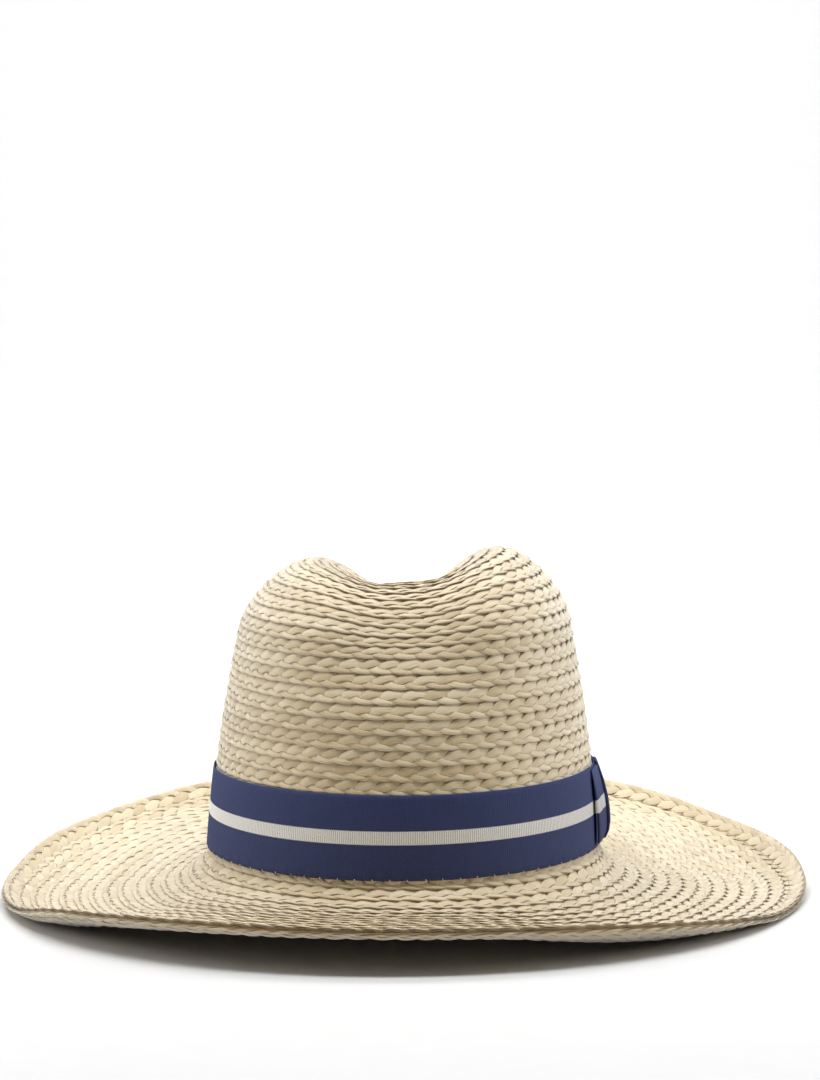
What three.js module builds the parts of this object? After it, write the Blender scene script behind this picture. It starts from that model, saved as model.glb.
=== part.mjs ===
// A fedora sewn from one long straw braid, with a striped ribbon, a flat side bow and a sweatband.
// Millimetres, +Z up, the wearer looks along -Y, and the wearer's left side, with the bow, is at +X.
// The hat stands on the lowest part of its brim, at z = 0.
import * as THREE from "three";
import { ParametricGeometry } from "three/addons/geometries/ParametricGeometry.js";

// Driving dimensions of the head opening and the crown.
const HEADLINE_HEIGHT = 22.6; // of the line where crown and brim meet, above the table
const HEADLINE_HALF_WIDTH = 87.5;
const OVAL_EXTRA = 16; // how much longer than wide each half of every crown ring is
const WALL_RISE = 95.8; // height of the crown's wall, which swells a little between its ends
const WALL_SWELL = 1.6;
const WALL_START = 0.5; // its lower end leans inwards, and still clears the brim
const CROWN_LEAN = 0.015; // towards the wearer's left
const SHOULDER_HALF_WIDTH = 75.4; // of the ellipse that rounds the wall over into the tip
const SHOULDER_CENTRE = 92;
const SHOULDER_RISE = 49.5;
const SHOULDER_START = THREE.MathUtils.degToRad(4.6); // where the wall runs into the ellipse
const TIP_SEAM = THREE.MathUtils.degToRad(36); // the row of stitches between wall and tip
const STRAW = 2.5; // two overlapping layers of braid
const GAP = 0.3; // between pieces that touch

// The crease pressed into the crown: shallow on the front face, deep from the middle to the back.
const CREASE_HALF_WIDTH = 32;
const CREASE_SQUARENESS = 3; // 2 makes a round trough, more makes a flatter bottom
const CREASE_FRONT_DEPTH = 11;
const CREASE_BACK_DEPTH = 30;
const CREASE_DEEPENS = [-75, 10]; // along Y
const CREASE_FRONT_RISE = [66, 112]; // heights over which it fades in on the front face
const CREASE_BACK_RISE = [70, 125];
const CREASE_SIDES_MEET = [-20, 20]; // where the front's fading gives way to the back's, along Y
const HUMP_TILT = 0.065; // the left hump stands a little higher than the right one

// The brim, from the headline out to its doubled edge.
const BRIM_HALF_WIDTH = 179.5;
const BRIM_HALF_LENGTH = 190;
const BRIM_LOW_SHARE = 0.8; // how far out the lowest row lies, as a share of the brim's width
const BREAK_DROP = 12; // the brim leaves the crown steeply, and levels out as it has dropped by this
const BREAK_REACH = 7; // the drop's width: three of these take nearly all of it
// Height of the lowest row and of the edge over the headline, by angle from +X towards +Y.
const LOW_ROW = [
  [0, -20.7], [12, -20.6], [45, -9], [90, -1], [135, -9], [168, -20.6], [180, -20.7],
  [205, -20.6], [222, -14], [240, -10], [268, -8.6], [285, -10.4], [300, -15.6], [318, -19.9],
  [338, -20], [350, -20.7],
];
const EDGE_ROW = [
  [0, -13.5], [12, -9.6], [32, -5.8], [52, 2], [90, 10], [122, 4], [144, -3.5], [158, -7.7],
  [172, -13.8], [192, -15.8], [202, -14.3], [216, -7.6], [240, -2.8], [272, -2.7], [290, -4.4],
  [306, -8.2], [325, -14.6], [335, -17.8], [348, -17],
];
const BRIM_TAIL = 1.4; // thickness of the brim's last row, inside the doubled edge
const EDGE_DEPTH = 9; // from the edge's mouth to its fold
const EDGE_HALF_HEIGHT = 2.1;
const EDGE_WALL = 1;
const WIRE_RADIUS = 0.6;

// Ribbon, bow and lining.
const RIBBON_HEIGHT = 36.5;
const RIBBON_THICKNESS = 0.9;
const BOW_HALF_LENGTH = 27;
const BOW_CLOTH = 0.6;
const KEEPER_WIDTH = 13;
const SWEATBAND_HEIGHT = 30;
const SWEATBAND_THICKNESS = 0.8;
const THREAD = 0.5;
const LABEL = { width: 22, height: 16, thickness: 0.4 };

const TURN = 60; // facets around every ring
const FULL = 2 * Math.PI;

const STRAW_COLOUR = 0xe6d6b0;
const NAVY = 0x343f6e;

function cloth(colour, roughness = 0.85, metalness = 0) {
  return new THREE.MeshStandardMaterial({ color: colour, roughness, metalness });
}

function piece(name, geometry, material) {
  const mesh = new THREE.Mesh(geometry, material);
  mesh.name = name;
  return mesh;
}

function ease(low, high, value) {
  return THREE.MathUtils.smoothstep(value, low, high);
}

// A smooth closed curve through [degrees, value] knots.
function around(knots, angle) {
  const degrees = THREE.MathUtils.euclideanModulo(THREE.MathUtils.radToDeg(angle), 360);
  const count = knots.length;
  const knot = (i) => {
    const turns = Math.floor(i / count);
    const [at, value] = knots[i - turns * count];
    return [at + 360 * turns, value];
  };
  let i = count - 1;
  while (knots[i][0] > degrees) i -= 1;
  const [[a0, v0], [a1, v1], [a2, v2], [a3, v3]] = [i - 1, i, i + 1, i + 2].map(knot);
  const span = a2 - a1;
  const slope1 = ((v2 - v0) / (a2 - a0)) * span;
  const slope2 = ((v3 - v1) / (a3 - a1)) * span;
  const t = (degrees - a1) / span;
  const [t2, t3] = [t * t, t * t * t];
  return (2 * t3 - 3 * t2 + 1) * v1 + (t3 - 2 * t2 + t) * slope1
    + (3 * t2 - 2 * t3) * v2 + (t3 - t2) * slope2;
}

// A solid closed on itself: each section is a list of points in order round it, and neighbouring
// sections are joined, the last one to the first.
function closedLoft(sections) {
  const corners = sections[0].length;
  const place = (u, v, target) => {
    const section = sections[Math.round(u * sections.length) % sections.length];
    target.copy(section[Math.round(v * corners) % corners]);
  };
  return new ParametricGeometry(place, sections.length, corners);
}

// A closed loft with one section(angle) at each of TURN angles round the head.
function ring(section) {
  return closedLoft(Array.from({ length: TURN }, (_, j) => section((j / TURN) * FULL)));
}

// --- crown -------------------------------------------------------------------------------------

// The crown's outline seen from the front, from the headline (0) by the end of the wall (1) to the
// middle of the tip (2): half width r, height z and the outward direction there.
function outline(along) {
  if (along <= 1) {
    const lean = HEADLINE_HALF_WIDTH - SHOULDER_HALF_WIDTH * Math.cos(SHOULDER_START);
    const length = Math.hypot(WALL_RISE, lean);
    const r = HEADLINE_HALF_WIDTH - lean * along + WALL_SWELL * Math.sin(Math.PI * along);
    return { r, z: WALL_RISE * along, outR: WALL_RISE / length, outZ: lean / length };
  }
  const angle = THREE.MathUtils.lerp(SHOULDER_START, Math.PI / 2, along - 1);
  const [c, s] = [Math.cos(angle), Math.sin(angle)];
  const length = Math.hypot(c / SHOULDER_HALF_WIDTH, s / SHOULDER_RISE);
  return {
    r: SHOULDER_HALF_WIDTH * c,
    z: SHOULDER_CENTRE + SHOULDER_RISE * s,
    outR: c / SHOULDER_HALF_WIDTH / length,
    outZ: s / SHOULDER_RISE / length,
  };
}

function creaseDepth(x, y, z) {
  const deepest = THREE.MathUtils.lerp(
    CREASE_FRONT_DEPTH, CREASE_BACK_DEPTH, ease(...CREASE_DEEPENS, y));
  const fade = THREE.MathUtils.lerp(
    ease(...CREASE_FRONT_RISE, z), ease(...CREASE_BACK_RISE, z), ease(...CREASE_SIDES_MEET, y));
  return deepest * fade * Math.exp(-(Math.abs(x / CREASE_HALF_WIDTH) ** CREASE_SQUARENESS));
}

// A point of the crown, inset from its outer face, over the headline.
function crownPoint(angle, along, inset) {
  const { r, z, outR, outZ } = outline(along);
  const [c, s] = [Math.cos(angle), Math.sin(angle)];
  const depth = creaseDepth(r * c, (r + OVAL_EXTRA) * s, z);
  const width = r - inset * outR;
  const x = width * c - depth * outR * c;
  const y = (width + OVAL_EXTRA) * s - depth * outR * s;
  const tilt = HUMP_TILT * x * (z / (SHOULDER_CENTRE + SHOULDER_RISE)) ** 4;
  return new THREE.Vector3(x + CROWN_LEAN * z, y, z - (inset + depth) * outZ + tilt);
}

// A ring of the crown's wall between two heights, from outerInset to innerInset.
function wallRing(stations, outerInset, innerInset) {
  return ring((angle) => [
    ...stations.map((along) => crownPoint(angle, along, outerInset)),
    ...stations.toReversed().map((along) => crownPoint(angle, along, innerInset)),
  ]);
}

const alongAt = (height) => height / WALL_RISE;
const seamAlong = 1 + (TIP_SEAM - SHOULDER_START) / (Math.PI / 2 - SHOULDER_START);
const seamGap = GAP / 90; // as a share of the shoulder's length, which is about 90

function crownWall() {
  const stations = [alongAt(WALL_START), 0.4, 0.72, 0.9, 1.02, 1.12, 1.22, seamAlong - seamGap];
  return piece("crown_wall_braid", wallRing(stations, 0, STRAW), cloth(STRAW_COLOUR));
}

// The tip is a lid: its inner face runs from its middle to the seam, and its outer face back.
function crownTip() {
  const stations = [seamAlong + seamGap, 1.47, 1.59, 1.72, 1.86, 2];
  const rows = [
    ...stations.toReversed().map((along) => [along, STRAW]),
    ...stations.map((along) => [along, 0]),
  ];
  const place = (u, v, target) => {
    const [along, inset] = rows[Math.round(v * (rows.length - 1))];
    target.copy(crownPoint((u % 1) * FULL, along, inset));
  };
  const lid = new ParametricGeometry(place, TURN, rows.length - 1);
  return piece("crown_tip_braid", lid, cloth(STRAW_COLOUR));
}

// --- brim --------------------------------------------------------------------------------------

const BRIM_START = HEADLINE_HALF_WIDTH - STRAW / 2;
const BRIM_SPAN = BRIM_HALF_WIDTH - BRIM_START;

// The middle of the brim's thickness, from the headline (0) to the outer edge (1).
function brimMiddle(angle, out) {
  const lowest = around(LOW_ROW, angle);
  const edge = around(EDGE_ROW, angle);
  const fall = Math.sin((Math.PI / 2) * Math.min(out / BRIM_LOW_SHARE, 1));
  const drop = BREAK_DROP * (1 - Math.exp((-out * BRIM_SPAN) / BREAK_REACH));
  const turnUp = Math.max(out - BRIM_LOW_SHARE, 0) / (1 - BRIM_LOW_SHARE);
  return new THREE.Vector3(
    THREE.MathUtils.lerp(BRIM_START, BRIM_HALF_WIDTH, out) * Math.cos(angle),
    THREE.MathUtils.lerp(BRIM_START + OVAL_EXTRA, BRIM_HALF_LENGTH, out) * Math.sin(angle),
    (lowest + BREAK_DROP) * fall - drop + (edge - lowest) * turnUp ** 2 - STRAW / 2,
  );
}

// A point above (or below) the middle of the brim, kept off the table that the hat stands on.
function brimPoint(angle, out, above) {
  const step = 0.01;
  const here = brimMiddle(angle, out);
  const outward = brimMiddle(angle, out + step).sub(brimMiddle(angle, out - step));
  const sideways = brimMiddle(angle + step, out).sub(brimMiddle(angle - step, out));
  here.addScaledVector(outward.cross(sideways).normalize(), above);
  here.z = Math.max(here.z, -HEADLINE_HEIGHT);
  return here;
}

const EDGE_START = 1 - EDGE_DEPTH / BRIM_SPAN;

function brim() {
  const half = STRAW / 2;
  const end = BRIM_TAIL / 2;
  const stations = [
    [0, half], [0.04, half], [0.09, half], [0.16, half], [0.28, half], [0.5, half],
    [0.72, half], [0.82, half],
    [EDGE_START - 1 / BRIM_SPAN, half], [EDGE_START, end], [EDGE_START + 2.5 / BRIM_SPAN, end],
    [EDGE_START + 5 / BRIM_SPAN, end],
  ];
  const shape = ring((angle) => [
    ...stations.toReversed().map(([out, above]) => brimPoint(angle, out, above)),
    ...stations.map(([out, above]) => brimPoint(angle, out, -above)),
  ]);
  return piece("brim_braid", shape, cloth(STRAW_COLOUR));
}

// The last row is folded over the brim's edge and over the wire that holds the edge's shape.
function brimEdge() {
  const inner = EDGE_HALF_HEIGHT - EDGE_WALL;
  const section = [
    [0, inner], [3.5, inner], [7, inner], [8, 0], [7, -inner], [3.5, -inner], [0, -inner],
    [0, -EDGE_HALF_HEIGHT], [3.5, -EDGE_HALF_HEIGHT], [7.2, -EDGE_HALF_HEIGHT],
    [EDGE_DEPTH, 0],
    [7.2, EDGE_HALF_HEIGHT], [3.5, EDGE_HALF_HEIGHT], [0, EDGE_HALF_HEIGHT],
  ];
  const shape = ring((angle) => section.map(([depth, above]) => (
    brimPoint(angle, EDGE_START + depth / BRIM_SPAN, above))));
  return piece("brim_edge_braid", shape, cloth(STRAW_COLOUR));
}

// A thin round strand that follows the brim, `depth` outwards from the mouth of the edge.
function brimStrand(name, depth, above, radius, material) {
  const corners = 6;
  const shape = ring((angle) => Array.from({ length: corners }, (_, i) => {
    const turn = (i / corners) * FULL;
    const out = EDGE_START + (depth + radius * Math.cos(turn)) / BRIM_SPAN;
    return brimPoint(angle, out, above + radius * Math.sin(turn));
  }));
  return piece(name, shape, material);
}

// --- ribbon and bow ----------------------------------------------------------------------------

const RIBBON_OUT = GAP + RIBBON_THICKNESS; // the ribbon's outer face, off the crown
const RIBBON_LOW = 0.6;
const RIBBON_HIGH = RIBBON_LOW + RIBBON_HEIGHT;

function ribbonBand() {
  const stations = [RIBBON_LOW, (RIBBON_LOW + RIBBON_HIGH) / 2, RIBBON_HIGH].map(alongAt);
  return piece("ribbon_band", wallRing(stations, -RIBBON_OUT, -GAP), cloth(NAVY));
}

// A thread that runs round the crown at one height, with its middle `out` from the crown's face.
function crownThread(name, height, out, colour) {
  const half = THREAD / 2;
  const stations = [height - half, height + half].map(alongAt);
  return piece(name, wallRing(stations, -out - half, -out + half), cloth(colour, 0.6));
}

// A point beside the ribbon at the bow, from the ribbon's outer face at the headline: `along` the
// ribbon towards the wearer's face, `off` its face and `up` from the headline. The ribbon bends
// there as the end of the head's oval does, and leans and swells with the wall.
function bowPoint(along, off, up) {
  const bendRadius = (HEADLINE_HALF_WIDTH + OVAL_EXTRA) ** 2 / HEADLINE_HALF_WIDTH;
  const bend = along / bendRadius;
  const { outR, outZ } = outline(0);
  const reach = bendRadius + off * outR;
  const lean = outline(alongAt(up)).r - HEADLINE_HALF_WIDTH + CROWN_LEAN * up;
  return new THREE.Vector3(
    reach * Math.cos(bend) - bendRadius + lean,
    -reach * Math.sin(bend),
    up + off * outZ,
  );
}

// Bends a solid whose x, y and z are along, off and up, onto the ribbon.
function bent(geometry) {
  const places = geometry.getAttribute("position");
  for (let i = 0; i < places.count; i += 1) {
    places.setXYZ(i, ...bowPoint(places.getX(i), places.getY(i), places.getZ(i)));
  }
  return geometry;
}

function shapeThrough(points) {
  return new THREE.Shape(points.map(([x, y]) => new THREE.Vector2(x, y)));
}

// Evenly spaced places from -half to half.
function span(half, pieces) {
  return Array.from({ length: pieces + 1 }, (_, i) => half * ((2 * i) / pieces - 1));
}

const BOW_LOW = 2.6; // the loop's lower and upper edges, inside the keeper
const BOW_HIGH = BOW_LOW + RIBBON_HEIGHT - 3.4;
const TAIL_OFF = 1.1; // inner faces, off the ribbon
const LOOP_OFF = 1.9;
const LOOP_SWELL = 2.8; // of the loop's ends, outside to outside
const LOOP_WAIST = 1.6; // where the keeper pinches it
const KEEPER_OFF = LOOP_OFF + LOOP_WAIST + GAP;

// The loop seen from above: a flat tube with round ends, `inset` from its outside.
function loopOutline(inset) {
  const endRadius = LOOP_SWELL / 2;
  const straight = BOW_HALF_LENGTH - endRadius;
  const front = span(straight, 12).toReversed().map((along) => {
    const swollen = ease(KEEPER_WIDTH * 0.65, straight * 0.7, Math.abs(along));
    const swell = THREE.MathUtils.lerp(LOOP_WAIST, LOOP_SWELL, swollen);
    return [along, LOOP_OFF + swell - inset];
  });
  const back = span(straight, 12).map((along) => [along, LOOP_OFF + inset]);
  const end = (side) => [-45, 0, 45].map((degrees) => {
    const turn = THREE.MathUtils.degToRad(degrees);
    const radius = endRadius - inset;
    return [
      side * (straight + radius * Math.cos(turn)),
      LOOP_OFF + endRadius + side * radius * Math.sin(turn),
    ];
  });
  return [...back, ...end(1), ...front, ...end(-1)];
}

function bowLoop() {
  const inside = loopOutline(BOW_CLOTH);
  const sections = loopOutline(0).map(([along, off], i) => [
    bowPoint(along, off, BOW_LOW), bowPoint(along, off, BOW_HIGH),
    bowPoint(...inside[i], BOW_HIGH), bowPoint(...inside[i], BOW_LOW),
  ]);
  return piece("bow_loop", closedLoft(sections), cloth(NAVY));
}

// The tail lies under the loop, with both ends cut on the slant.
function bowTail() {
  const half = BOW_HALF_LENGTH + 3;
  const slant = 5;
  const height = BOW_HIGH - BOW_LOW;
  const strip = new THREE.BoxGeometry(2 * half, BOW_CLOTH, height, 12, 1, 1);
  const places = strip.getAttribute("position");
  for (let i = 0; i < places.count; i += 1) {
    const shorter = 1 - (slant / half) * (places.getZ(i) / height + 0.5);
    places.setX(i, places.getX(i) * shorter);
  }
  strip.translate(0, TAIL_OFF + BOW_CLOTH / 2, BOW_LOW + height / 2);
  return piece("bow_tail", bent(strip), cloth(NAVY));
}

// The keeper goes round the waist of the loop and the tail, and its back lies on the ribbon.
function bowKeeper() {
  const frame = (off, grow) => [
    [GAP + off, BOW_LOW - GAP - grow], [KEEPER_OFF + grow, BOW_LOW - GAP - grow],
    [KEEPER_OFF + grow, BOW_HIGH + GAP + grow], [GAP + off, BOW_HIGH + GAP + grow],
  ];
  const shape = shapeThrough(frame(0, BOW_CLOTH));
  shape.holes.push(shapeThrough(frame(BOW_CLOTH - 0.1, 0)));
  const solid = new THREE.ExtrudeGeometry(shape, {
    depth: KEEPER_WIDTH, bevelEnabled: false, steps: 2,
  });
  // The frame was drawn in off and up, and extruded along the ribbon.
  const turned = new THREE.Matrix4().makeBasis(
    new THREE.Vector3(0, 1, 0), new THREE.Vector3(0, 0, 1), new THREE.Vector3(1, 0, 0));
  solid.applyMatrix4(turned).translate(-KEEPER_WIDTH / 2, 0, 0);
  return piece("bow_keeper", bent(solid), cloth(NAVY));
}

// A short stitch over the ribbon's upper edge that holds one end of the bow to the crown.
function bowTack(name, along) {
  const radius = THREAD / 2;
  const tack = piece(name, new THREE.CapsuleGeometry(radius, 1.6, 3, 8), cloth(0xf0ead8, 0.6));
  tack.position.copy(bowPoint(along, -0.4, RIBBON_HIGH + GAP + radius));
  tack.rotation.z = -along / HEADLINE_HALF_WIDTH;
  return tack;
}

// --- lining ------------------------------------------------------------------------------------

const BAND_OUTER = STRAW + GAP; // the sweatband's faces, inset from the crown's outer face
const BAND_INNER = BAND_OUTER + SWEATBAND_THICKNESS;
const BAND_LOW = 1;

function sweatband() {
  const stations = [BAND_LOW, BAND_LOW + SWEATBAND_HEIGHT / 2, BAND_LOW + SWEATBAND_HEIGHT];
  const shape = wallRing(stations.map(alongAt), BAND_OUTER, BAND_INNER);
  return piece("sweatband", shape, cloth(0xeee6d4));
}

// A blank woven label, flat against the inside of the sweatband at the wearer's back.
function careLabel() {
  const shape = new THREE.BoxGeometry(LABEL.width, LABEL.thickness, LABEL.height);
  const label = piece("care_label", shape, cloth(0xf5f3ee));
  const clear = 1.4; // the band curves in by about 0.8 behind the label's sides
  const middle = BAND_LOW + SWEATBAND_HEIGHT / 2;
  const [lower, upper] = [middle - LABEL.height / 2, middle + LABEL.height / 2].map((up) => (
    crownPoint(Math.PI / 2, alongAt(up), BAND_INNER + clear)));
  label.position.lerpVectors(lower, upper, 0.5);
  label.rotation.x = Math.atan2(lower.y - upper.y, upper.z - lower.z);
  return label;
}

// --- assembly ----------------------------------------------------------------------------------

function assembly(...parts) {
  return new THREE.Group().add(...parts);
}

const crown = assembly(crownTip(), crownWall());

const edgeStitchAbove = EDGE_HALF_HEIGHT + GAP + THREAD / 2;
const wire = new THREE.MeshStandardMaterial({ color: 0xd8d8d8, roughness: 0.4, metalness: 1 });
const brimAssembly = assembly(
  brim(),
  brimEdge(),
  brimStrand("brim_edge_wire", 6.4, 0, WIRE_RADIUS, wire),
  brimStrand("brim_edge_stitch", 2.5, edgeStitchAbove, THREAD / 2, cloth(0xe8dcbc, 0.6)),
);

const trim = assembly(
  ribbonBand(),
  crownThread("ribbon_stitch", RIBBON_LOW + THREAD, RIBBON_OUT + GAP + THREAD / 2, 0xf0ead8),
);

const bow = assembly(
  bowTail(), bowLoop(), bowKeeper(),
  bowTack("bow_tack_front", BOW_HALF_LENGTH), bowTack("bow_tack_back", -BOW_HALF_LENGTH),
);
bow.position.x = HEADLINE_HALF_WIDTH + RIBBON_OUT;

const lining = assembly(
  sweatband(),
  crownThread("sweatband_stitch", BAND_LOW + 2, -BAND_INNER - GAP - THREAD / 2, 0xe8dcbc),
  careLabel(),
);

const group = assembly(crown, brimAssembly, trim, bow, lining);
group.position.z = HEADLINE_HEIGHT;

export default group;
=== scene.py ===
import math

import bpy
import numpy as np
from mathutils import Matrix, Vector


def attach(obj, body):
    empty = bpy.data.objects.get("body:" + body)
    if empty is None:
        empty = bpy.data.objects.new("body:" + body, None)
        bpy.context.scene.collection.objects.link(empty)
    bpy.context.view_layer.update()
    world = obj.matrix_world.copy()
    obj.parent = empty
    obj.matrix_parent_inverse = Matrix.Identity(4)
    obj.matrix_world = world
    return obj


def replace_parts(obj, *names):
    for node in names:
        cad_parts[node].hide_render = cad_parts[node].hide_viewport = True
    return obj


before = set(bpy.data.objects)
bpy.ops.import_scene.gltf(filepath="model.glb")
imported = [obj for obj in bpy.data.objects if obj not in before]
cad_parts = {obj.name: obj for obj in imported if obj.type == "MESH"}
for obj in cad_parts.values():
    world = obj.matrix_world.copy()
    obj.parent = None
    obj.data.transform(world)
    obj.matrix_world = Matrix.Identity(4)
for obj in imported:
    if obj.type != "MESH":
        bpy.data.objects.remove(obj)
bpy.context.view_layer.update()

MM = 0.001
FULL = 2 * math.pi

# The body's shape, as in the CAD part.
HEADLINE_HEIGHT = 22.6
HEADLINE_HALF_WIDTH = 87.5
OVAL_EXTRA = 16
WALL_RISE = 95.8
WALL_SWELL = 1.6
CROWN_LEAN = 0.015
SHOULDER_HALF_WIDTH = 75.4
SHOULDER_CENTRE = 92
SHOULDER_RISE = 49.5
SHOULDER_START = math.radians(4.6)
TIP_SEAM = math.radians(36)
STRAW = 2.5
GAP = 0.3
CREASE_HALF_WIDTH = 32
CREASE_SQUARENESS = 3
CREASE_FRONT_DEPTH = 11
CREASE_BACK_DEPTH = 30
CREASE_DEEPENS = (-75, 10)
CREASE_FRONT_RISE = (66, 112)
CREASE_BACK_RISE = (70, 125)
CREASE_SIDES_MEET = (-20, 20)
HUMP_TILT = 0.065
BRIM_HALF_WIDTH = 179.5
BRIM_HALF_LENGTH = 190
BRIM_LOW_SHARE = 0.8
BREAK_DROP = 12
BREAK_REACH = 7
LOW_ROW = [
    (0, -20.7), (12, -20.6), (45, -9), (90, -1), (135, -9), (168, -20.6), (180, -20.7),
    (205, -20.6), (222, -14), (240, -10), (268, -8.6), (285, -10.4), (300, -15.6), (318, -19.9),
    (338, -20), (350, -20.7),
]
EDGE_ROW = [
    (0, -13.5), (12, -9.6), (32, -5.8), (52, 2), (90, 10), (122, 4), (144, -3.5), (158, -7.7),
    (172, -13.8), (192, -15.8), (202, -14.3), (216, -7.6), (240, -2.8), (272, -2.7), (290, -4.4),
    (306, -8.2), (325, -14.6), (335, -17.8), (348, -17),
]
EDGE_HALF_HEIGHT = 2.1
TUCK = 0.7  # how far the last turn of the spiral dips under the edge row
EDGE_TOP = 1.2  # the upper edge row is pressed flat against the brim
EDGE_SEAM_IN = 6.3
RIBBON_HEIGHT = 36.5
RIBBON_THICKNESS = 0.9
RIBBON_LOW = 0.6
SWEATBAND_THICKNESS = 0.8

# The braid.
ROW_PITCH = 6.5
STRANDS = 3
PLAIT_PERIOD = 27.6  # of one strand, to the far edge and back
PLAIT_SWING = 2.8
PLAIT_LIFT = 0.36  # over and under the other strands
PLAIT_LEAD = 0.5  # of the lift behind the swing, so that strands still lie on top as they turn
STRAND_HALF_WIDTH = 2.3
STRAND_HALF_THICKNESS = 0.32
BELOW_SQUEEZE = 0.5  # the seam pulls the braid's lower half together
ROW_FOOT = 2.4  # from a row's line down to its lower edge
ROW_TOP = 5.2  # from a row's line up to where the row above hides it
ROW_DEPTH = 0.2  # of a row's lower edge under the surface
ROW_SLOPE = 0.15  # its upper edge lies deeper, under the row above
GROOVE_DEPTH = 0.2
CURL = 0.35
# How far a strand strays from an even plait, and the lengths over which it does.
PHASE_DRIFT, PHASE_EVERY = 0.35, 24
SWING_DRIFT, SWING_EVERY = 0.08, 17
WIDTH_DRIFT, WIDTH_EVERY = 0.16, 7
LIFT_DRIFT, LIFT_EVERY = 0.1, 13
TONE_EVERY = 60
SAMPLES_PER_TURN = 400
STEP = 1.5  # between sections along a strand


def lerp(a, b, t):
    return a + (b - a) * t


def smoothstep(value, low, high):
    t = np.clip((value - low) / (high - low), 0, 1)
    return t * t * (3 - 2 * t)


def around(knots, angle):
    """A smooth closed curve through (degrees, value) knots."""
    at, value = np.array(knots, float).T
    at = np.concatenate([at[-2:] - 360, at, at[:3] + 360])
    value = np.concatenate([value[-2:], value, value[:3]])
    degrees = np.degrees(angle) % 360
    i = np.searchsorted(at, degrees, side="right") - 1
    span = at[i + 1] - at[i]
    slope1 = (value[i + 1] - value[i - 1]) / (at[i + 1] - at[i - 1]) * span
    slope2 = (value[i + 2] - value[i]) / (at[i + 2] - at[i]) * span
    t = (degrees - at[i]) / span
    t2, t3 = t * t, t * t * t
    return (
        (2 * t3 - 3 * t2 + 1) * value[i]
        + (t3 - 2 * t2 + t) * slope1
        + (3 * t2 - 2 * t3) * value[i + 1]
        + (t3 - t2) * slope2
    )


def drift(length, every, seed, closed=False):
    """Slow random changes from -1 to 1 along a length, one about `every` millimetres."""
    total = length.max()
    count = max(2, round(total / every))
    knots = np.random.default_rng(seed).uniform(-1, 1, count + 2)
    if closed:
        knots[count:] = knots[:2]
    place = np.clip(length / total, 0, 1) * count
    i = np.minimum(place.astype(int), count)
    t = place - i
    return lerp(knots[i], knots[i + 1], t * t * (3 - 2 * t))


# --- surfaces of crown and brim ---------------------------------------------------------------------


def outline(along):
    """Half width, height and outward direction of the crown seen from the front, from the headline
    (0) by the end of the wall (1) to the middle of the tip (2)."""
    lean = HEADLINE_HALF_WIDTH - SHOULDER_HALF_WIDTH * math.cos(SHOULDER_START)
    wall_length = math.hypot(WALL_RISE, lean)
    angle = lerp(SHOULDER_START, math.pi / 2, along - 1)
    c, s = np.cos(angle), np.sin(angle)
    tip_length = np.hypot(c / SHOULDER_HALF_WIDTH, s / SHOULDER_RISE)
    wall = along <= 1
    r = np.where(
        wall,
        HEADLINE_HALF_WIDTH - lean * along + WALL_SWELL * np.sin(math.pi * along),
        SHOULDER_HALF_WIDTH * c,
    )
    z = np.where(wall, WALL_RISE * along, SHOULDER_CENTRE + SHOULDER_RISE * s)
    out_r = np.where(wall, WALL_RISE / wall_length, c / SHOULDER_HALF_WIDTH / tip_length)
    out_z = np.where(wall, lean / wall_length, s / SHOULDER_RISE / tip_length)
    return r, z, out_r, out_z


def crown_point(angle, along, inset):
    r, z, out_r, out_z = outline(along)
    c, s = np.cos(angle), np.sin(angle)
    y0 = (r + OVAL_EXTRA) * s
    deepest = lerp(CREASE_FRONT_DEPTH, CREASE_BACK_DEPTH, smoothstep(y0, *CREASE_DEEPENS))
    fade = lerp(
        smoothstep(z, *CREASE_FRONT_RISE),
        smoothstep(z, *CREASE_BACK_RISE),
        smoothstep(y0, *CREASE_SIDES_MEET),
    )
    depth = deepest * fade * np.exp(-(np.abs(r * c / CREASE_HALF_WIDTH) ** CREASE_SQUARENESS))
    width = r - inset * out_r
    x = width * c - depth * out_r * c
    y = (width + OVAL_EXTRA) * s - depth * out_r * s
    tilt = HUMP_TILT * x * (z / (SHOULDER_CENTRE + SHOULDER_RISE)) ** 4
    return np.stack([x + CROWN_LEAN * z, y, z - (inset + depth) * out_z + tilt], -1)


PROFILE_ALONG = np.linspace(-0.1, 2, 1200)
PROFILE_R, PROFILE_Z = outline(PROFILE_ALONG)[:2]
PROFILE_LENGTH = np.concatenate(
    [[0], np.cumsum(np.hypot(np.diff(PROFILE_R), np.diff(PROFILE_Z)))]
)
PROFILE_LENGTH -= np.interp(0, PROFILE_ALONG, PROFILE_LENGTH)
CROWN_LENGTH = PROFILE_LENGTH[-1]  # from the headline to the middle of the tip


def crown_skin(angle, up, depth):
    """A point `up` the crown from the headline, measured over its surface."""
    return crown_point(angle, np.interp(up, PROFILE_LENGTH, PROFILE_ALONG), depth)


BRIM_START = HEADLINE_HALF_WIDTH - STRAW / 2
BRIM_SPAN = BRIM_HALF_WIDTH - BRIM_START


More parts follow.
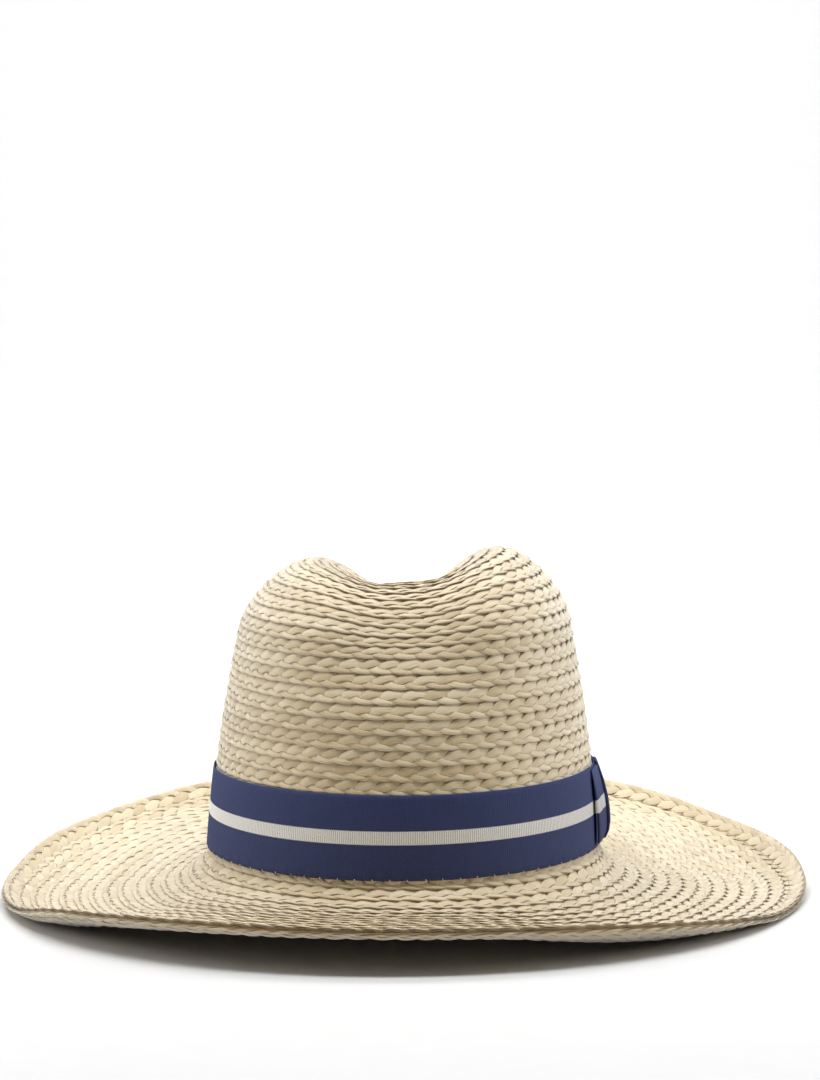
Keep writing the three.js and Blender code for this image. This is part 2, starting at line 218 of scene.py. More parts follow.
def brim_middle(angle, out):
    lowest, edge = around(LOW_ROW, angle), around(EDGE_ROW, angle)
    fall = np.sin(math.pi / 2 * np.minimum(out / BRIM_LOW_SHARE, 1))
    drop = BREAK_DROP * (1 - np.exp(-out * BRIM_SPAN / BREAK_REACH))
    turn_up = np.maximum(out - BRIM_LOW_SHARE, 0) / (1 - BRIM_LOW_SHARE)
    return np.stack([
        lerp(BRIM_START, BRIM_HALF_WIDTH, out) * np.cos(angle),
        lerp(BRIM_START + OVAL_EXTRA, BRIM_HALF_LENGTH, out) * np.sin(angle),
        (lowest + BREAK_DROP) * fall - drop + (edge - lowest) * turn_up**2 - STRAW / 2,
    ], -1)


def brim_point(angle, out, above):
    step = 0.01
    outward = brim_middle(angle, out + step) - brim_middle(angle, out - step)
    sideways = brim_middle(angle + step, out) - brim_middle(angle - step, out)
    normal = np.cross(outward, sideways)
    normal /= np.linalg.norm(normal, axis=-1, keepdims=True)
    place = brim_middle(angle, out) + normal * np.asarray(above)[..., None]
    place[..., 2] = np.maximum(place[..., 2], -HEADLINE_HEIGHT)
    return place


BREAK_OUT = np.linspace(0, BRIM_SPAN * 1.05, 800)
BREAK_LENGTH = np.concatenate([[0], np.cumsum(np.hypot(
    np.diff(BREAK_OUT), np.diff(BREAK_DROP * np.exp(-BREAK_OUT / BREAK_REACH))))])
BRIM_LENGTH = float(np.interp(BRIM_SPAN, BREAK_OUT, BREAK_LENGTH))  # over its surface


def body_skin(angle, up, depth):
    """A point `depth` under the hat's surface, `up` the crown from the headline, measured over the
    surface, or out on the brim where up is negative."""
    angle, up, depth = np.broadcast_arrays(angle, up, depth)
    on_brim = up < 0
    place = np.empty((*up.shape, 3))
    place[~on_brim] = crown_skin(angle[~on_brim], up[~on_brim], depth[~on_brim])
    out = np.interp(-up[on_brim], BREAK_LENGTH, BREAK_OUT) / BRIM_SPAN
    tucked = smoothstep(-up[on_brim], BRIM_LENGTH - 9, BRIM_LENGTH - 6) * TUCK
    place[on_brim] = brim_point(angle[on_brim], out, STRAW / 2 - tucked - depth[on_brim])
    return place


def edge_top_skin(angle, inward, depth):
    return brim_point(angle, 1 - inward / BRIM_SPAN, EDGE_TOP - depth)


def edge_under_skin(angle, inward, depth):
    return brim_point(angle, 1 - inward / BRIM_SPAN, depth - EDGE_HALF_HEIGHT)


# --- meshes -----------------------------------------------------------------------------------------


class Shape:
    """Places in millimetres over the headline, four-cornered faces, and facts at each place."""

    def __init__(self):
        self.places, self.faces, self.facts, self.count = [], [], [], 0

    def add_sheet(self, places, facts, close_rows=False, close_columns=False):
        """Joins places[row, column] to their neighbours, by faces that look out of a solid whose
        rows run along it and whose columns run round it. A tube with open ends gets a cap on each."""
        rows, columns = places.shape[:2]
        index = np.arange(rows * columns).reshape(rows, columns)
        if close_rows:
            index = np.concatenate([index, index[:1]])
        if close_columns:
            index = np.concatenate([index, index[:, :1]], 1)
        a, b, c, d = index[:-1, :-1], index[:-1, 1:], index[1:, 1:], index[1:, :-1]
        faces = np.stack([a, b, c, d], -1).reshape(-1, 4)
        if close_columns and not close_rows:
            near = np.arange(columns // 2 - 1)
            far = columns - 1 - near
            start, end = index[0], index[-1]
            faces = np.concatenate([
                faces,
                np.stack([start[near + 1], start[near], start[far], start[far - 1]], -1),
                np.stack([end[near], end[near + 1], end[far - 1], end[far]], -1),
            ])
        if signed_volume(places) < 0:
            faces = faces[:, ::-1]
        self.places.append(places.reshape(-1, 3))
        self.faces.append(faces + self.count)
        self.facts.append(np.broadcast_to(facts, (rows, columns, len(FACTS))).reshape(-1, len(FACTS)))
        self.count += rows * columns

    def build(self, name, material):
        mesh = bpy.data.meshes.new(name)
        places = np.concatenate(self.places) + (0, 0, HEADLINE_HEIGHT)
        faces = np.concatenate(self.faces)
        mesh.from_pydata((places * MM).tolist(), [], faces.tolist())
        for i, fact in enumerate(FACTS):
            layer = mesh.attributes.new(fact, "FLOAT", "POINT")
            layer.data.foreach_set("value", np.concatenate(self.facts)[:, i].astype(np.float32))
        mesh.shade_smooth()
        mesh.materials.append(material)
        piece = bpy.data.objects.new(name, mesh)
        bpy.context.collection.objects.link(piece)
        return piece


FACTS = ("along", "across", "tone")  # along and across a strand or ribbon in mm, and its shade
# The backing's darker straw tone is painted shade in the holes between the strands.
BACKING_SHADE_TONE = 0.25
STRANDS_APART = 1000  # added along each strand, so that no two share their grain


def facts_at(along, across, tone=0.5):
    return np.stack(np.broadcast_arrays(along, across, tone), -1)


def signed_volume(places):
    """Positive where the columns of a tube turn anticlockwise about the way its rows run."""
    middle = places.mean(1, keepdims=True)
    arms = places - middle
    turns = np.cross(arms[:-1], np.roll(arms, -1, 1)[:-1]).sum(1)
    runs = np.diff(middle[:, 0], axis=0)
    return float((turns * runs).sum())


# --- braid ------------------------------------------------------------------------------------------


def strand_section():
    """A flat rounded outline with eight corners: sideways and outwards, each from -1 to 1."""
    turn = np.arange(8) / 8 * FULL
    return np.cos(turn), np.sign(np.sin(turn)) * np.abs(np.sin(turn)) ** 0.8


def row_depth(up):
    """How deep the middle of a braid lies under the surface, `up` from its line: its foot lies
    over the row below, the seam pulls a groove above the foot, and its lower edge curls in."""
    groove = GROOVE_DEPTH * np.exp(-(((up + 0.8) / 0.6) ** 2))
    curl = CURL * np.maximum(-up - 1.5, 0) ** 2
    return ROW_DEPTH + ROW_SLOPE * (up + ROW_FOOT) + groove + curl


def add_stretches(shapes, places, facts, closed, **options):
    """Gives each shape its stretch of a long sheet, from the first section to the last."""
    for shape, first, last in shapes:
        shape.add_sheet(places[first:last], facts[first:last], close_rows=closed, **options)


def add_braid(shapes, skin, line, seed, closed=False):
    """A plait that follows a line on a surface: at each length along it, the angle about the head,
    the line's place across the surface, and the millimetres per radian there. Each shape takes the
    stretch that starts and ends at the given sections."""
    length, angle, up, reach = line
    period = PLAIT_PERIOD
    if closed:
        total = length[-1] + length[1]
        period = total / round(total / period)
    sideways, outwards = strand_section()
    wobble = PHASE_DRIFT * drift(length, PHASE_EVERY, seed, closed)
    for k in range(STRANDS):
        phase = FULL * (length / period + k / STRANDS) + wobble
        swing_drift = SWING_DRIFT * drift(length, SWING_EVERY, seed + 7 + k, closed)
        swing = PLAIT_SWING * (1 + swing_drift)
        heading = np.arctan(PLAIT_SWING * FULL / PLAIT_PERIOD * np.cos(phase))[:, None]
        width_drift = WIDTH_DRIFT * drift(length, WIDTH_EVERY, seed + 20 + k, closed)
        half = STRAND_HALF_WIDTH * (1 + width_drift)[:, None]
        lift = PLAIT_LIFT * np.sin(2 * phase - PLAIT_LEAD)
        lift += LIFT_DRIFT * drift(length, LIFT_EVERY, seed + 30 + k, closed)
        forth = -sideways * half * np.sin(heading)
        across = (swing * np.sin(phase))[:, None] + sideways * half * np.cos(heading)
        across = np.where(across < 0, across * BELOW_SQUEEZE, across)
        depth = row_depth(across) - lift[:, None] - outwards * STRAND_HALF_THICKNESS
        places = skin(angle[:, None] + forth / reach[:, None], up[:, None] + across, depth)
        tone = drift(length, TONE_EVERY, seed + 40 + k, closed)[:, None] * 0.5 + 0.5
        facts = facts_at(length[:, None] + k * STRANDS_APART, sideways * STRAND_HALF_WIDTH, tone)
        add_stretches(shapes, places, facts, closed, close_columns=True)
    add_backing(shapes, skin, line, closed)


def add_backing(shapes, skin, line, closed):
    """A skin behind a braid's strands, which closes the small holes between them. Its darker tone is
    painted shade in those holes.
    """
    length, angle, up, _ = line
    across = np.array([-ROW_FOOT - 0.1, -1.6, -0.2, 1.6, 3.4, ROW_TOP])
    depth = row_depth(across) + np.array([0.45, 0.2, 0.15, 0.15, 0.15, 0.1])
    places = skin(angle[:, None], up[:, None] + across, depth[None])
    facts = facts_at(length[:, None], across, BACKING_SHADE_TONE)
    for shape, first, last in shapes:
        shape.add_sheet(places[first:last:2], facts[first:last:2], close_rows=closed)


def reach_at(skin, angle, up):
    """Millimetres per radian about the head."""
    step, depth = 0.002, 1.2
    ahead, behind = skin(angle + step, up, depth), skin(angle - step, up, depth)
    return np.linalg.norm(ahead - behind, axis=-1) / (2 * step)


def spiral(skin, first, last, start_angle):
    """The line of a braid sewn round and round, down from one place across the surface to another."""
    turns = (first - last) / ROW_PITCH
    turn = np.linspace(0, turns * FULL, int(turns * SAMPLES_PER_TURN))
    angle = start_angle + turn
    up = first - ROW_PITCH * turn / FULL
    reach = reach_at(skin, angle, up)
    length = np.concatenate([[0], np.cumsum((reach[1:] + reach[:-1]) / 2 * np.diff(turn))])
    even = np.arange(0, length[-1], STEP)
    return even, *(np.interp(even, length, values) for values in (angle, up, reach))


def ring_line(skin, up):
    """The line of a braid that closes on itself."""
    turn = np.linspace(0, FULL, 3 * SAMPLES_PER_TURN)
    reach = reach_at(skin, turn, up)
    length = np.concatenate([[0], np.cumsum((reach[1:] + reach[:-1]) / 2 * np.diff(turn))])
    count = round(length[-1] / STEP / 2) * 2
    even = np.arange(count) / count * length[-1]
    angle, near = (np.interp(even, length, values) for values in (turn, reach))
    return even, angle, np.full(count, float(up)), near


SEAM_UP = float(np.interp(
    1 + (TIP_SEAM - SHOULDER_START) / (math.pi / 2 - SHOULDER_START),
    PROFILE_ALONG, PROFILE_LENGTH))
FIRST_ROW_IN = 3.2  # from the middle of the tip
LAST_ROW_IN = 3.3  # from the rim
BRAID_FIRST = CROWN_LENGTH - FIRST_ROW_IN
BRAID_LAST = LAST_ROW_IN - BRIM_LENGTH
BRAID_START = math.radians(242)  # puts a row's lower edge just over the ribbon in front


def body_rows(straw):
    """The spiral braid of tip, wall and brim, and the two rows sewn back to back at the edge."""
    line = spiral(body_skin, BRAID_FIRST, BRAID_LAST, BRAID_START)
    up = line[2]
    seam, headline = np.searchsorted(-up, [-SEAM_UP, -ROW_FOOT])
    tip, wall, brim, edge = Shape(), Shape(), Shape(), Shape()
    stretches = ((tip, 0, seam + 1), (wall, seam, headline + 1), (brim, headline, len(up)))
    add_braid(stretches, body_skin, line, seed=100)
    for skin, seed in ((edge_top_skin, 400), (edge_under_skin, 500)):
        line = ring_line(skin, ROW_FOOT)
        add_braid(((edge, 0, len(line[0])),), skin, line, seed=seed, closed=True)
    return (
        tip.build("crown_tip_rows", straw),
        wall.build("crown_wall_rows", straw),
        brim.build("brim_rows", straw),
        edge.build("brim_edge_rows", straw),
    )


# --- materials --------------------------------------------------------------------------------------


class Look:
    """A procedural material under construction."""

    def __init__(self, name, roughness, sheen=0.0, metallic=0.0):
        self.material = bpy.data.materials.new(name)
        self.material.use_nodes = True
        self.tree = self.material.node_tree
        self.shader = self.tree.nodes["Principled BSDF"]
        self.shader.inputs["Roughness"].default_value = roughness
        self.shader.inputs["Sheen Weight"].default_value = sheen
        self.shader.inputs["Metallic"].default_value = metallic

    def node(self, kind, links=None, **settings):
        """Adds a node; settings name its properties, and links its inputs: a number or an output."""
        node = self.tree.nodes.new(kind)
        for key, value in settings.items():
            setattr(node, key, value)
        for key, value in (links or {}).items():
            self.feed(node.inputs[key], value)
        return node

    def feed(self, socket, value):
        if isinstance(value, bpy.types.NodeSocket):
            self.tree.links.new(value, socket)
        else:
            socket.default_value = value

    def fact(self, name):
        return self.node("ShaderNodeAttribute", attribute_name=name).outputs["Fac"]

    def math(self, operation, *values):
        return self.node(
            "ShaderNodeMath", dict(enumerate(values)), operation=operation).outputs[0]

    def vector(self, x, y, z=0.0):
        return self.node("ShaderNodeCombineXYZ", {"X": x, "Y": y, "Z": z}).outputs[0]

    def noise(self, scale, vector=None, detail=3.0):
        links = {"Scale": scale, "Detail": detail}
        if vector is not None:
            links["Vector"] = vector
        else:
            links["Vector"] = self.node("ShaderNodeTexCoord").outputs["Object"]
        return self.node("ShaderNodeTexNoise", links).outputs["Fac"]

    def ramp(self, factor, *stops):
        ramp = self.node("ShaderNodeValToRGB", {"Fac": factor})
        elements = ramp.color_ramp.elements
        while len(elements) < len(stops):
            elements.new(0.5)
        for element, (at, colour) in zip(elements, stops):
            element.position = at
            element.color = (*colour, 1)
        return ramp.outputs["Color"]

    def mix(self, factor, a, b, blend="MIX"):
        node = self.node("ShaderNodeMix", data_type="RGBA", blend_type=blend)
        # Its sockets for colours come after those for numbers and vectors.
        self.feed(node.inputs[0], factor)
        self.feed(node.inputs[6], a)
        self.feed(node.inputs[7], b)
        return node.outputs[2]

    def finish(self, colour, height, distance, strength=1.0):
        """Colour, and a relief of that height in metres."""
        self.feed(self.shader.inputs["Base Color"], colour)
        bump = self.node(
            "ShaderNodeBump", {"Height": height, "Distance": distance, "Strength": strength})
        self.tree.links.new(bump.outputs[0], self.shader.inputs["Normal"])
        return self.material


def straw_look():
    look = Look("straw", roughness=0.5, sheen=0.9)
    look.shader.inputs["Sheen Tint"].default_value = (0.98, 0.98, 0.96, 1)
    along, across, tone = look.fact("along"), look.fact("across"), look.fact("tone")
    fibres = look.noise(1.0, look.vector(look.math("MULTIPLY", along, 0.12),
                                         look.math("MULTIPLY", across, 2.6)), detail=4.0)
    patches = look.noise(9.0)
    shade = look.math("ADD", look.math("MULTIPLY", tone, 0.45), look.math("MULTIPLY", patches, 0.5))
    colour = look.ramp(
        shade, (0.1, (0.46, 0.345, 0.18)), (0.45, (0.63, 0.515, 0.315)), (0.8, (0.74, 0.645, 0.455)))
    streaks = look.ramp(fibres, (0.3, (0.78, 0.73, 0.62)), (0.6, (1.0, 1.0, 1.0)))
    colour = look.mix(0.7, colour, streaks, "MULTIPLY")
    # Strand edges are painted darker brown: painted shade where the strands meet and overlap.
    margin = look.math("DIVIDE", look.math("ABSOLUTE", across), STRAND_HALF_WIDTH)
    painted_edge_shade = look.ramp(margin, (0.75, (1.0, 1.0, 1.0)), (1.0, (0.60, 0.47, 0.32)))
    colour = look.mix(0.8, colour, painted_edge_shade, "MULTIPLY")
    return look.finish(colour, fibres, 0.0004, 0.5)


def ribbon_look():
    look = Look("ribbon", roughness=0.75, sheen=0.05)
    look.shader.inputs["Sheen Tint"].default_value = (0.3, 0.4, 1.0, 1)
    look.shader.inputs["Specular IOR Level"].default_value = 0.2
    along, across = look.fact("along"), look.fact("across")
    rib = look.math("SINE", look.math("MULTIPLY", along, FULL / RIB))
    threads = look.noise(1.0, look.vector(look.math("MULTIPLY", along, 5.0),
                                          look.math("MULTIPLY", across, 1.2)), detail=2.0)
    navy = look.ramp(threads, (0.3, (0.026, 0.036, 0.105)), (0.7, (0.042, 0.056, 0.150)))
    white = look.ramp(threads, (0.3, (0.68, 0.68, 0.67)), (0.65, (0.90, 0.90, 0.88)))
    toothed = look.math("ADD", look.math("ABSOLUTE", across), look.math("MULTIPLY", rib, 0.12))
    is_navy = look.math("GREATER_THAN", toothed, STRIPE_HALF)
    # The white stripe is painted darker in the dips between the ribs: painted shade.
    dips = look.math("MULTIPLY", look.math("ADD", rib, threads), 0.5)
    painted_rib_shade = look.ramp(dips, (0.0, (0.55, 0.55, 0.56)), (0.35, (1.0, 1.0, 1.0)))
    white = look.mix(0.9, white, painted_rib_shade, "MULTIPLY")
    colour = look.mix(is_navy, white, navy)
    relief = look.math("ADD", rib, threads)
    return look.finish(colour, relief, 0.0001, 0.35)


def cloth_look(name, light, dark, weave, roughness=0.8):
    look = Look(name, roughness=roughness, sheen=0.2)
    along, across = look.fact("along"), look.fact("across")
    twill = look.math("SINE", look.math("MULTIPLY", look.math("ADD", along, across), FULL / weave))
    fuzz = look.noise(420.0)
    colour = look.ramp(fuzz, (0.3, dark), (0.7, light))
    return look.finish(colour, look.math("ADD", twill, fuzz), 0.00012, 0.4)


def thread_look(name, dark, light):
    look = Look(name, roughness=0.6, sheen=0.2)
    along, across = look.fact("along"), look.fact("across")
    twist = look.math("SINE", look.math("MULTIPLY", look.math("ADD", along, across), 9.0))
    colour = look.ramp(twist, (0.2, dark), (0.8, light))
    return look.finish(colour, twist, 0.0001, 0.4)


def wire_look():
    look = Look("wire", roughness=0.35, metallic=1.0)
    drawn = look.noise(300.0)
    colour = look.ramp(drawn, (0.3, (0.55, 0.55, 0.56)), (0.7, (0.75, 0.75, 0.76)))
    return look.finish(colour, drawn, 0.00002, 0.3)


# --- ribbon and bow ---------------------------------------------------------------------------------

RIB = 1.07  # between the ribs of the grosgrain
RIB_HEIGHT = 0.05
STEPS_PER_RIB = 4
STRIPE_HALF = 2.9
STITCH_PITCH = 8.4
RIBBON_OUT = GAP + RIBBON_THICKNESS
BAND_ROUND = 610  # the ribbon's length round the crown


def ribbon_band(look):
    """The band with its ribs, its lower edge drawn in a little at each stitch."""
    count = round(BAND_ROUND / RIB) * STEPS_PER_RIB
    angle = np.arange(count) / count * FULL
    along = angle / FULL * BAND_ROUND
    heights = np.array([0, 0.4, 2, 6, 11, 15, 18.25, 21.5, 26, 31, 34.5, 36.1, 36.5])
    rib = RIB_HEIGHT * np.cos(along / RIB * FULL)[:, None]
    stitches = round(BAND_ROUND / STITCH_PITCH)
    pulled = 0.14 * (1 + np.cos(angle * stitches))[:, None]
    wave = 0.12 * drift(along, 22, 11, closed=True)[:, None]
    slack = np.interp(heights, [0, 4, 30, 36.5], [1, 0.2, 0.2, 0.6])
    edge = np.interp(heights, [0, 0.5, 36, 36.5], [1, 0, 0, 1])
    out = RIBBON_OUT - 0.1 + rib * (1 - edge) + wave * slack
    out = out - pulled * np.interp(heights, [0, 3], [1, 0]) - 0.3 * edge
    inner = np.full((count, 3), GAP + 0.15)
    tall = np.concatenate([heights, [33, 18, 3]])
    places = crown_skin(angle[:, None], (RIBBON_LOW + tall)[None], -np.concatenate([out, inner], 1))
    shape = Shape()
    facts = facts_at(along[:, None], tall - RIBBON_HEIGHT / 2)
    shape.add_sheet(places, facts, close_rows=True, close_columns=True)
    return shape.build("ribbon", look)


BOW_LOW = 2.6
BOW_HIGH = 35.7
BOW_HALF_LENGTH = 27
BOW_CLOTH = 0.4  # its thickness
TAIL_OFF = 0.7  # from the ribbon to the inner face of the tail
TAIL_PAST_LOOP = 3
TAIL_SLANT = 5  # of its cut ends
LOOP_OFF = 1.45  # from the ribbon to the loop's back
LOOP_SWELL = 0.9  # between the loop's back and front, at its ends
LOOP_WAIST = 1.9  # the same where the folds lie under the keeper
KEEPER_HALF = 6.5
KEEPER_OFF = 5.2  # from the ribbon to its outer face
KEEPER_CLOTH = 1.6  # the ribbon folded lengthwise into three layers
BOW_BULGE = [  # how far the bow stands off, by height
    (0, 0.4), (2.6, 0.58), (5, 0.82), (9, 0.97), (14, 1), (20, 0.92), (27, 0.7), (33, 0.42), (37, 0.22),
]
BEND_RADIUS = (HEADLINE_HALF_WIDTH + OVAL_EXTRA) ** 2 / HEADLINE_HALF_WIDTH


def bow_point(along, off, up):
    """A point beside the ribbon at the bow: `along` it towards the front, `off` its face and `up`
    from the headline. The bow bulges most near its lower edge and thins out towards its upper one."""
    along, off, up = np.broadcast_arrays(along, off, up)
    r, _, _, _ = outline(up / WALL_RISE)
    _, _, out_r, out_z = outline(np.array(0.0))
    near = off * np.interp(up, *np.array(BOW_BULGE).T)
    reach = BEND_RADIUS + near * out_r
    bend = along / BEND_RADIUS
    lean = r + CROWN_LEAN * up + RIBBON_OUT - BEND_RADIUS
    return np.stack([reach * np.cos(bend) + lean, -reach * np.sin(bend), up + near * out_z], -1)


def resampled(points, step, closed):
    """A path's points at even steps, the sideways direction there, and the lengths along it."""
    points = np.array(points, float)
    if closed:
        points = np.concatenate([points, points[:1]])
    length = np.concatenate([[0], np.cumsum(np.linalg.norm(np.diff(points, axis=0), axis=1))])
    count = round(length[-1] / step)
    even = np.arange(count + (not closed)) / count * length[-1]
    path = np.stack([np.interp(even, length, points[:, i]) for i in range(2)], -1)
    if closed:
        ahead = np.roll(path, -2, 0) - np.roll(path, 2, 0)
    else:
        ahead = np.gradient(path, axis=0)
    ahead /= np.linalg.norm(ahead, axis=1, keepdims=True)
    return path, np.stack([ahead[:, 1], -ahead[:, 0]], -1), even


def add_ribbon(shape, points, across, place, closed, thick=BOW_CLOTH, ends=(0, 0), stripe=0):
    """Ribbon cloth that follows a path in two of the bow's directions and runs across in the third.
    place(path, across) turns them into a point; the cut ends lean by `ends` over the width, and
    `stripe` is the place of the stripe from the middle."""
    path, sideways, length = resampled(points, RIB / STEPS_PER_RIB, closed)
    low, high = across
    width = np.linspace(low, high, 15)
    selvedge = 1 - smoothstep(np.minimum(width - low, high - width), 0, 0.6)
    rib = RIB_HEIGHT * np.cos(length / RIB * FULL)[:, None] * (1 - selvedge)
    half = thick / 2 * (1 - 0.6 * selvedge * BOW_CLOTH / thick)
    share = (length / length[-1])[:, None]
    if not closed:  # the cut ends thin out
        half = half * np.minimum(1, np.minimum(share, 1 - share) * 60 + 0.05)
    back = np.broadcast_to(-half, (len(path), len(width)))
    outs = np.concatenate([half + rib, back[:, ::-1]], 1)
    wide = np.concatenate([width, width[::-1]])
    skewed = lerp(ends[0], ends[1], share) * (wide - low) / (high - low)
    moved = path[:, None] + sideways[:, None] * outs[..., None]
    moved[..., 0] += skewed
    facts = facts_at(length[:, None], wide - (low + high) / 2 - stripe)
    shape.add_sheet(place(moved, wide), facts, close_rows=closed, close_columns=True)


def upright(path, across):
    return bow_point(path[..., 0], path[..., 1], across)


def lying(path, across):
    return bow_point(across, path[..., 0], path[..., 1])


def bow_loop(look):
    """A flat loop that lies along the ribbon, thickest under the keeper."""
    end = LOOP_SWELL / 2
    straight = BOW_HALF_LENGTH - end
    run = np.linspace(-straight, straight, 60)
    swell = lerp(LOOP_WAIST, LOOP_SWELL, smoothstep(np.abs(run), KEEPER_HALF, straight * 0.6))
    front = [(along, LOOP_OFF + rise) for along, rise in zip(run, swell)]
    back = [(-straight, LOOP_OFF), (straight, LOOP_OFF)]
    turn = np.radians(np.linspace(-90, 90, 14)[1:-1])
    turn_front, turn_back = (
        [(side * (straight + end * math.cos(t)), LOOP_OFF + end + side * end * math.sin(t))
         for t in turn]
        for side in (1, -1)
    )
    shape = Shape()
    path = [*back, *turn_front, *front[::-1], *turn_back]
    add_ribbon(shape, path, (BOW_LOW, BOW_HIGH), upright, closed=True)
    return shape.build("bow_ribbon_loop", look)


def bow_tail(look):
    """A straight piece under the loop, its ends cut at a slant."""
    reach = BOW_HALF_LENGTH + TAIL_PAST_LOOP
    middle = TAIL_OFF + BOW_CLOTH / 2
    path = [
        (along, middle + 0.25 * (along / reach) ** 4) for along in np.linspace(-reach, reach, 40)
    ]
    shape = Shape()
    add_ribbon(
        shape, path, (BOW_LOW, BOW_HIGH), upright, closed=False, ends=(TAIL_SLANT, -TAIL_SLANT))
    return shape.build("bow_ribbon_tail", look)


def bow_keeper(look):
    """A folded ribbon that goes round the middle of loop and tail, over their long edges."""
    outer, inner = KEEPER_OFF - KEEPER_CLOTH / 2, KEEPER_CLOTH / 2 + 0.2
    top, bottom = BOW_HIGH + 0.3, BOW_LOW - 0.3
    corner = 0.5
    corners = (
        (outer - corner, top - corner, 0, 90), (inner + corner, top - corner, 90, 180),
        (inner + corner, bottom + corner, 180, 270), (outer - corner, bottom + corner, 270, 360),
    )
    path = [
        (off + corner * math.cos(t), up + corner * math.sin(t))
        for off, up, first, last in corners
        for t in np.radians(np.linspace(first, last, 6))
    ]
    shape = Shape()
    folded_away = 12  # its stripe, to the back
    across = (-KEEPER_HALF, KEEPER_HALF)
    add_ribbon(shape, path, across, lying, closed=True, thick=KEEPER_CLOTH, stripe=folded_away)
    return shape.build("bow_ribbon_keeper", look)


# --- lining and threads -----------------------------------------------------------------------------

BAND_OUTER = STRAW + 2 * GAP
BAND_INNER = BAND_OUTER + SWEATBAND_THICKNESS - GAP
BAND_LOW = 1
LINING_ROUND = 577  # the sweatband's length
LABEL_HALF = 11  # of its width
LABEL_BEND_RADIUS = 84


def lining_band(look):
    """The sweatband, with a rolled upper edge that waves a little."""
    count = 480
    angle = np.arange(count) / count * FULL
    along = angle / FULL * LINING_ROUND
    faced_in = [  # height over its lower edge, and depth under the hat's surface
        (0, 3.3), (0.5, 3.5), (2, 3.6), (3, 3.45), (4, 3.6), (10, 3.62), (18, 3.62), (26, 3.62),
        (29, 3.75), (30, 3.6),
    ]
    faced_out = [(30, 3.3), (29, 3.1), (20, 3.1), (10, 3.1), (2, 3.1), (0, 3.1)]
    height, inset = np.array(faced_in + faced_out).T
    up = BAND_LOW + height
    wave = 0.12 * drift(along, 30, 21, closed=True)[:, None] * smoothstep(up, 12, 30)
    places = crown_skin(angle[:, None], up[None], inset + wave * (inset > 3.2))
    shape = Shape()
    shape.add_sheet(places, facts_at(along[:, None], up), close_rows=True, close_columns=True)
    return shape.build("sweatband_cloth", look)


def blank_label(look):
    """A blank satin label, folded at its ends, on the sweatband at the back."""
    run = np.linspace(-LABEL_HALF, LABEL_HALF, 45)
    outline_up = np.array([8, 8.3, 12, 16, 20, 23.7, 24, 24, 23.7, 20, 16, 12, 8.3, 8])
    outline_out = np.array([0.2, 0.4, 0.45, 0.45, 0.45, 0.4, 0.2, 0, 0, 0, 0, 0, 0, 0])
    fold = np.interp(np.abs(run), [8.5, 9.5, 10.8, LABEL_HALF], [0, 0.25, 0.2, 0.05])[:, None]
    angle = math.pi / 2 + run / LABEL_BEND_RADIUS
    inset = BAND_INNER + 0.35 + outline_out + fold * (outline_out > 0.3)
    places = crown_skin(angle[:, None], outline_up[None], inset)
    shape = Shape()
    shape.add_sheet(places, facts_at(run[:, None], outline_up), close_columns=True)
    return shape.build("blank_label", look)


def add_stitch(shape, start, end, away, radius, bulge):
    """One stitch: a strand that comes out of the cloth at its start and goes in at its end."""
    t = np.linspace(0, 1, 7)[:, None]
    sunk = radius * 0.6
    middle = lerp(start, end, t) + away * (np.sin(math.pi * t) * bulge - sunk)
    side = np.cross(end - start, away)
    side /= np.linalg.norm(side)
    turn = np.arange(6) / 6 * FULL
    ring = np.cos(turn)[:, None] * side + np.sin(turn)[:, None] * away
    places = middle[:, None] + ring * radius
    facts = facts_at(t * np.linalg.norm(end - start), turn[None] / FULL)
    shape.add_sheet(places, facts, close_columns=True)


def stitch_row(name, look, skin, up, depth, count, share, radius=0.22, bulge=0.25):
    """Stitches round the hat on a surface, from one height up it to another. Each runs round the
    head for a share of their pitch."""
    shape = Shape()
    random = np.random.default_rng(900 + count)
    first, last = up
    for i in range(count):
        angle = (i + random.uniform(-0.08, 0.08)) / count * FULL
        ahead = angle + share / count * FULL
        start = skin(np.array(angle), np.array(float(first)), np.array(depth))
        end = skin(np.array(ahead), np.array(float(last)), np.array(depth))
        above = skin(np.array(angle), np.array(float(first)), np.array(depth - 1.0))
        add_stitch(shape, start, end, above - start, radius, bulge)
    return shape.build(name, look)


def ribbon_stitches(look):
    """Small tacks over the ribbon's lower edge."""
    count = round(BAND_ROUND / STITCH_PITCH)
    return stitch_row(
        "ribbon_tacks", look, crown_skin, (RIBBON_LOW + 0.7, RIBBON_LOW - 0.2), -RIBBON_OUT, count,
        share=0.05, radius=0.14, bulge=0.12)


def edge_stitches(look):
    """Long stitches through both rows of the brim's edge."""
    return stitch_row(
        "edge_stitches", look, edge_top_skin, (EDGE_SEAM_IN, EDGE_SEAM_IN), 0.75, 240,
        share=0.7, radius=0.2)


def lining_stitches(look):
    """A machined seam near the sweatband's lower edge."""
    seam = BAND_LOW + 2
    return stitch_row(
        "lining_stitches", look, crown_skin, (seam, seam), BAND_INNER + 0.1, 150,
        share=0.5, bulge=-0.5)


def bow_stitch(name, look, along):
    """A tack over the ribbon's upper edge, at one end of the bow."""
    shape = Shape()
    top = RIBBON_LOW + RIBBON_HEIGHT + 0.4
    half, off = 0.9, -0.6
    for rise in (0.0, 0.5):
        start, end = (bow_point(along + shift, off, top + rise) for shift in (-half, half))
        add_stitch(shape, start, end, np.array([1.0, 0, 0]), radius=0.2, bulge=0.3)
    return shape.build(name, look)


# --- stage ------------------------------------------------------------------------------------------


